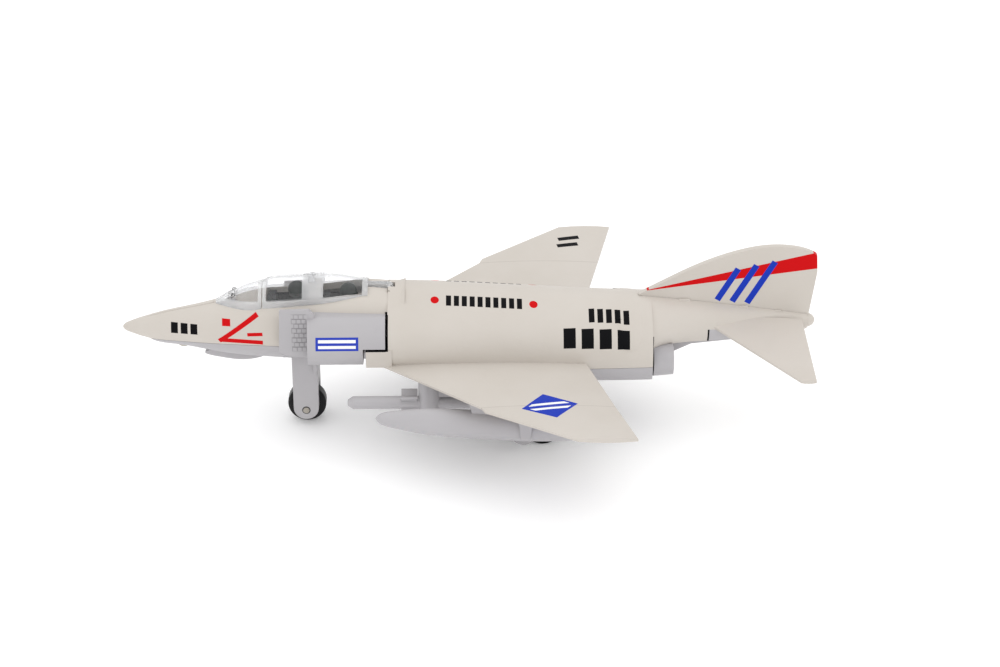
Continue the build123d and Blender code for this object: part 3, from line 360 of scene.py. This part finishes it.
def clear_plastic():
    """Clear polystyrene: see-through panes between milky moulded frames."""
    graph = Graph("clear_plastic")
    shader, x, z = graph.shader, graph.x, graph.z
    side = graph.math("ABSOLUTE", graph.y)
    haze = graph.noise(90.0, 3.0)
    # the sill falls towards the front, so panes are measured above a sloping line
    above_sill = graph.math("SUBTRACT", z, graph.math("MULTIPLY", x, 0.065))
    pane_height = graph.both(graph.above(above_sill, 0.0487), graph.below(above_sill, 0.0534))
    panes = graph.both(pane_height, graph.either(
        graph.band(x, -0.0577, 0.0058), graph.band(x, -0.0387, 0.0066),
        graph.band(x, -0.0705, 0.0048)))
    roof = graph.both(graph.above(above_sill, 0.0541), graph.below(side, 0.0060))
    ribs = graph.either(graph.band(x, -0.0638, 0.0006), graph.band(x, -0.0490, 0.0013),
                        graph.band(x, -0.0325, 0.0008))
    milk = graph.outside(graph.both(graph.either(panes, roof), graph.outside(ribs)))
    graph.link(graph.ramp(milk, 0.0, 1.0, 1.0, 0.72), shader.inputs["Transmission Weight"])
    shader.inputs["IOR"].default_value = 1.42
    shader.inputs["Specular IOR Level"].default_value = 0.75
    graph.link(graph.mix(haze, (0.985, 0.988, 0.995), (0.95, 0.955, 0.97)), shader.inputs["Base Color"])
    fine = graph.ramp(graph.noise(300.0, 4.0), 0.4, 0.8, 0.01, 0.05)
    graph.link(graph.math("ADD", fine, graph.math("MULTIPLY", milk, 0.10)), shader.inputs["Roughness"])
    graph.bump(graph.math("ADD", milk, graph.math("MULTIPLY", haze, 0.25)), 0.25, 0.0004)
    return graph.material


def dark_surface(name, light, dark, low_rough, high_rough, scale=400.0, metal=0.0, grain=0.12):
    """Mottled opaque surface for rubber, plastic and metal pieces."""
    graph = Graph(name)
    graph.shader.inputs["Metallic"].default_value = metal
    graph.shader.inputs["Specular IOR Level"].default_value = 0.5 if metal else 0.12
    speckle = graph.noise(scale, 4.0, 0.6)
    graph.link(graph.mix(speckle, light, dark), graph.shader.inputs["Base Color"])
    graph.link(graph.ramp(speckle, 0.3, 0.7, low_rough, high_rough), graph.shader.inputs["Roughness"])
    graph.bump(graph.noise(scale * 2.5, 2.0), grain, 0.0002)
    return graph.material


MATERIALS = {
    "beige_paint": body_paint(),
    "plain_cream": plain_cream(),
    "grey_plastic": grey_plastic(),
    "clear_plastic": clear_plastic(),
    "cockpit_black": dark_surface("cockpit_black", (0.003, 0.003, 0.004), (0.008, 0.008, 0.010), 0.40, 0.60),
    "seat_green": dark_surface("seat_green", (0.006, 0.014, 0.010), (0.012, 0.022, 0.017), 0.35, 0.55),
    "black_plastic": dark_surface("black_plastic", (0.010, 0.010, 0.011), (0.020, 0.020, 0.021), 0.25, 0.42),
    "black_rubber": dark_surface("black_rubber", (0.003, 0.003, 0.003), (0.008, 0.0078, 0.0078), 0.60, 0.85,
                                 600.0, 0.0, 0.25),
    "steel": dark_surface("steel", (0.46, 0.43, 0.38), (0.34, 0.31, 0.27), 0.25, 0.40, 500.0, 1.0, 0.08),
    "gear_plastic": dark_surface("gear_plastic", (0.78, 0.77, 0.72), (0.70, 0.69, 0.64), 0.30, 0.45),
    "motor_plastic": dark_surface("motor_plastic", (0.045, 0.045, 0.048), (0.065, 0.065, 0.070), 0.40, 0.60),
}
SLOT_OF = {row["node"]: row["material_slot"] for row in frame["record"]["subparts"]}


def dress(piece, material):
    """Give every face of a piece one material."""
    piece.data.materials.clear()
    piece.data.materials.append(material)


for node_name, node in nodes.items():
    dress(node, MATERIALS[SLOT_OF[node_name]])
dress(nodes["tail_fin"], fin_paint())
marked_plastic = grey_plastic(marked=True)
for node_name in ("intake_left", "intake_right"):
    dress(nodes[node_name], marked_plastic)


# ---------------------------------------------------------------- small moulded details
def piece_from(name, bm, body, look, bevel=0.00015):
    """Turn a bmesh into a bevelled piece that rides on one of the moving bodies."""
    mesh = bpy.data.meshes.new(name)
    bmesh.ops.recalc_face_normals(bm, faces=bm.faces)
    bm.to_mesh(mesh)
    bm.free()
    piece = bpy.data.objects.new(name, mesh)
    bpy.context.scene.collection.objects.link(piece)
    if bevel:
        rounding = piece.modifiers.new("rounding", "BEVEL")
        rounding.width = bevel
        rounding.segments = 2
        rounding.limit_method = "ANGLE"
    dress(piece, MATERIALS[look])
    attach(piece, body)


def prism(bm, outline, start, end):
    """Straight prism across the toy, from an outline of (x, z) points."""
    rings = [[bm.verts.new((x, depth, z)) for x, z in outline] for depth in (start, end)]
    bm.faces.new(rings[0])
    bm.faces.new(rings[1][::-1])
    for i in range(len(outline)):
        j = (i + 1) % len(outline)
        bm.faces.new((rings[0][i], rings[0][j], rings[1][j], rings[1][i]))


def loft(bm, rings):
    """Closed skin over a row of four-cornered rings of vertices."""
    for first, second in zip(rings, rings[1:]):
        for k in range(4):
            bm.faces.new((first[k], first[(k + 1) % 4], second[(k + 1) % 4], second[k]))
    bm.faces.new(rings[0][::-1])
    bm.faces.new(rings[-1])


def surface_height(node, x, y, start=0.08):
    """Height of a CAD node's surface straight below a point, or None."""
    hit, place, _, _ = nodes[node].ray_cast(Vector((x, y, start)), Vector((0, 0, -1)))
    return place.z if hit else None


def nose_strip():
    """Raised spine along the top of the nose, from the radome to the windscreen."""
    bm = bmesh.new()
    half, rise, steps = 0.0006, 0.00028, 24
    root = 0.0006
    front, rear = -0.1015, -0.0800
    rings = []
    for i in range(steps + 1):
        x = front + (rear - front) * i / steps
        low = surface_height("upper_body", x, 0.0)
        top = low + rise * min(1.0, i / 2.0)
        rings.append([bm.verts.new((x, y, z)) for y, z in
                      ((-half, low - root), (-half * 0.7, top), (half * 0.7, top), (half, low - root))])
    loft(bm, rings)
    piece_from("nose_strip", bm, "airframe", "plain_cream", 0.0001)


def strut_door():
    """Small plate that hangs beside the nose leg."""
    lo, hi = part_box("nose_gear_leg")
    bm = bmesh.new()
    rear, width, top, foot = hi.x + 0.0002, 0.0014, 0.0282, 0.0192
    outline = [(rear - width, top), (rear, top), (rear, foot + 0.0013), (rear - 0.0008, foot),
               (rear - width, foot + 0.0006)]
    prism(bm, outline, lo.y - 0.0012, lo.y - 0.0002)
    piece_from("strut_door", bm, "airframe", "grey_plastic")


def fin_tabs():
    """Three low moulded pads along the foot of the fin, on both sides."""
    bm = bmesh.new()
    lo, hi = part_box("tail_fin")
    root, rise, gap, depth = 0.0008, 0.0006, 0.00002, 0.0008
    for x, half in ((0.0675, 0.0024), (0.0862, 0.0020), (0.0972, 0.0014)):
        for side, face in ((-1, lo.y), (1, hi.y)):
            base = surface_height("upper_body", x, face + side * 0.0010, 0.0575)
            outline = [(x - half, base - root), (x + half, base - root),
                       (x + half * 0.7, base + rise), (x - half * 0.7, base + rise)]
            prism(bm, outline, *sorted((face + side * gap, face + side * depth)))
    piece_from("fin_tabs", bm, "airframe", "plain_cream")


def canopy_arch():
    """Low raised rib over the top of the canopy, above the bulkhead."""
    bm = bmesh.new()
    x, half, root, steps = -0.0490, 0.0011, 0.0001, 20
    half_span, crown, lip = 0.0036, 0.00045, 0.00005
    rings = []
    for i in range(steps + 1):
        y = -half_span + 2 * half_span * i / steps
        low = surface_height("canopy", x, y)
        rise = crown * math.sin(math.pi * i / steps) + lip
        rings.append([bm.verts.new((x + dx, y, low + dz)) for dx, dz in
                      ((-half, -root), (-half * 0.6, rise), (half * 0.6, rise), (half, -root))])
    loft(bm, rings)
    piece_from("canopy_arch", bm, "canopy", "clear_plastic", 0.00008)


def hub_spokes():
    """Small pressed ribs on the outer face of each rear hub."""
    count, inner, outer_end, half = 6, 0.0017, 0.0031, 0.00025
    for side in ("left", "right"):
        lo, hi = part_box(f"rear_hub_{side}")
        middle = (lo + hi) / 2
        outer, inward = (lo.y, 1) if side == "left" else (hi.y, -1)
        bm = bmesh.new()
        for k in range(count):
            turn = Matrix.Rotation(math.radians(360 / count * k), 4, "Y")
            start, end = sorted((outer + inward * 0.0016, outer + inward * 0.0009))
            corners = [(inner, -half), (outer_end, -half), (outer_end, half), (inner, half)]
            before = len(bm.verts)
            prism(bm, corners, start, end)
            bm.verts.ensure_lookup_table()
            bmesh.ops.transform(bm, matrix=Matrix.Translation((middle.x, 0, middle.z)) @ turn,
                                verts=bm.verts[before:])
        piece_from(f"hub_spokes_{side}", bm, "rear_wheels", "black_plastic", 0.0)


nose_strip()
strut_door()
fin_tabs()
canopy_arch()
hub_spokes()


# ---------------------------------------------------------------- floor, light, camera
def table_top():
    """Plain pale floor."""
    mesh = bpy.data.meshes.new("floor")
    size = 4.0
    mesh.from_pydata([(-size, -size, 0), (size, -size, 0), (size, size, 0), (-size, size, 0)], [],
                     [(0, 1, 2, 3)])
    floor = bpy.data.objects.new("floor", mesh)
    bpy.context.scene.collection.objects.link(floor)
    graph = Graph("pale_floor")
    wear = graph.noise(3.0)
    graph.link(graph.mix(wear, (0.93, 0.93, 0.93), (0.91, 0.91, 0.915)), graph.shader.inputs["Base Color"])
    graph.shader.inputs["Roughness"].default_value = 0.6
    graph.shader.inputs["Emission Color"].default_value = (1.0, 1.0, 1.0, 1.0)
    graph.shader.inputs["Emission Strength"].default_value = 0.16
    dress(floor, graph.material)


def area_light(name, place, target, size, power):
    """Soft studio lamp aimed at a point."""
    lamp = bpy.data.lights.new(name, "AREA")
    lamp.shape = "RECTANGLE"
    lamp.size, lamp.size_y = size
    lamp.energy = power
    lamp_object = bpy.data.objects.new(name, lamp)
    lamp_object.location = place
    lamp_object.rotation_euler = (Vector(target) - Vector(place)).to_track_quat("-Z", "Y").to_euler()
    bpy.context.scene.collection.objects.link(lamp_object)


def studio():
    """Overhead softbox, two side fills and a pale surround."""
    area_light("overhead", (0.0, 0.10, 0.90), (0, 0, 0), (2.2, 2.0), 6.4)
    area_light("front_fill", (-0.35, -0.95, 0.55), (0, 0, 0.03), (0.9, 0.7), 1.4)
    area_light("side_fill", (0.95, -0.40, 0.45), (0, 0, 0.03), (0.7, 0.6), 0.9)
    world = bpy.data.worlds.new("surround")
    bpy.context.scene.world = world
    world.use_nodes = True
    background = world.node_tree.nodes["Background"]
    background.inputs["Color"].default_value = (1.0, 1.0, 1.0, 1.0)
    background.inputs["Strength"].default_value = 0.86


def camera():
    """Long lens from the port side, 27 degrees above the table."""
    elevation, distance, yaw = math.radians(27.0), 0.730, math.radians(0.88)
    target = Vector((0.0097, 0.0, 0.0296))
    reach = distance * math.cos(elevation)
    place = target + Vector((-reach * math.sin(yaw), -reach * math.cos(yaw), distance * math.sin(elevation)))
    lens = bpy.data.cameras.new("camera")
    lens.sensor_width = 36.0
    lens.lens = 83.05
    lens.clip_start = 0.01
    view = bpy.data.objects.new("camera", lens)
    view.location = place
    view.rotation_euler = (target - place).to_track_quat("-Z", "Y").to_euler()
    bpy.context.scene.collection.objects.link(view)
    bpy.context.scene.camera = view
    bpy.context.scene.view_settings.view_transform = "Standard"


table_top()
studio()
camera()
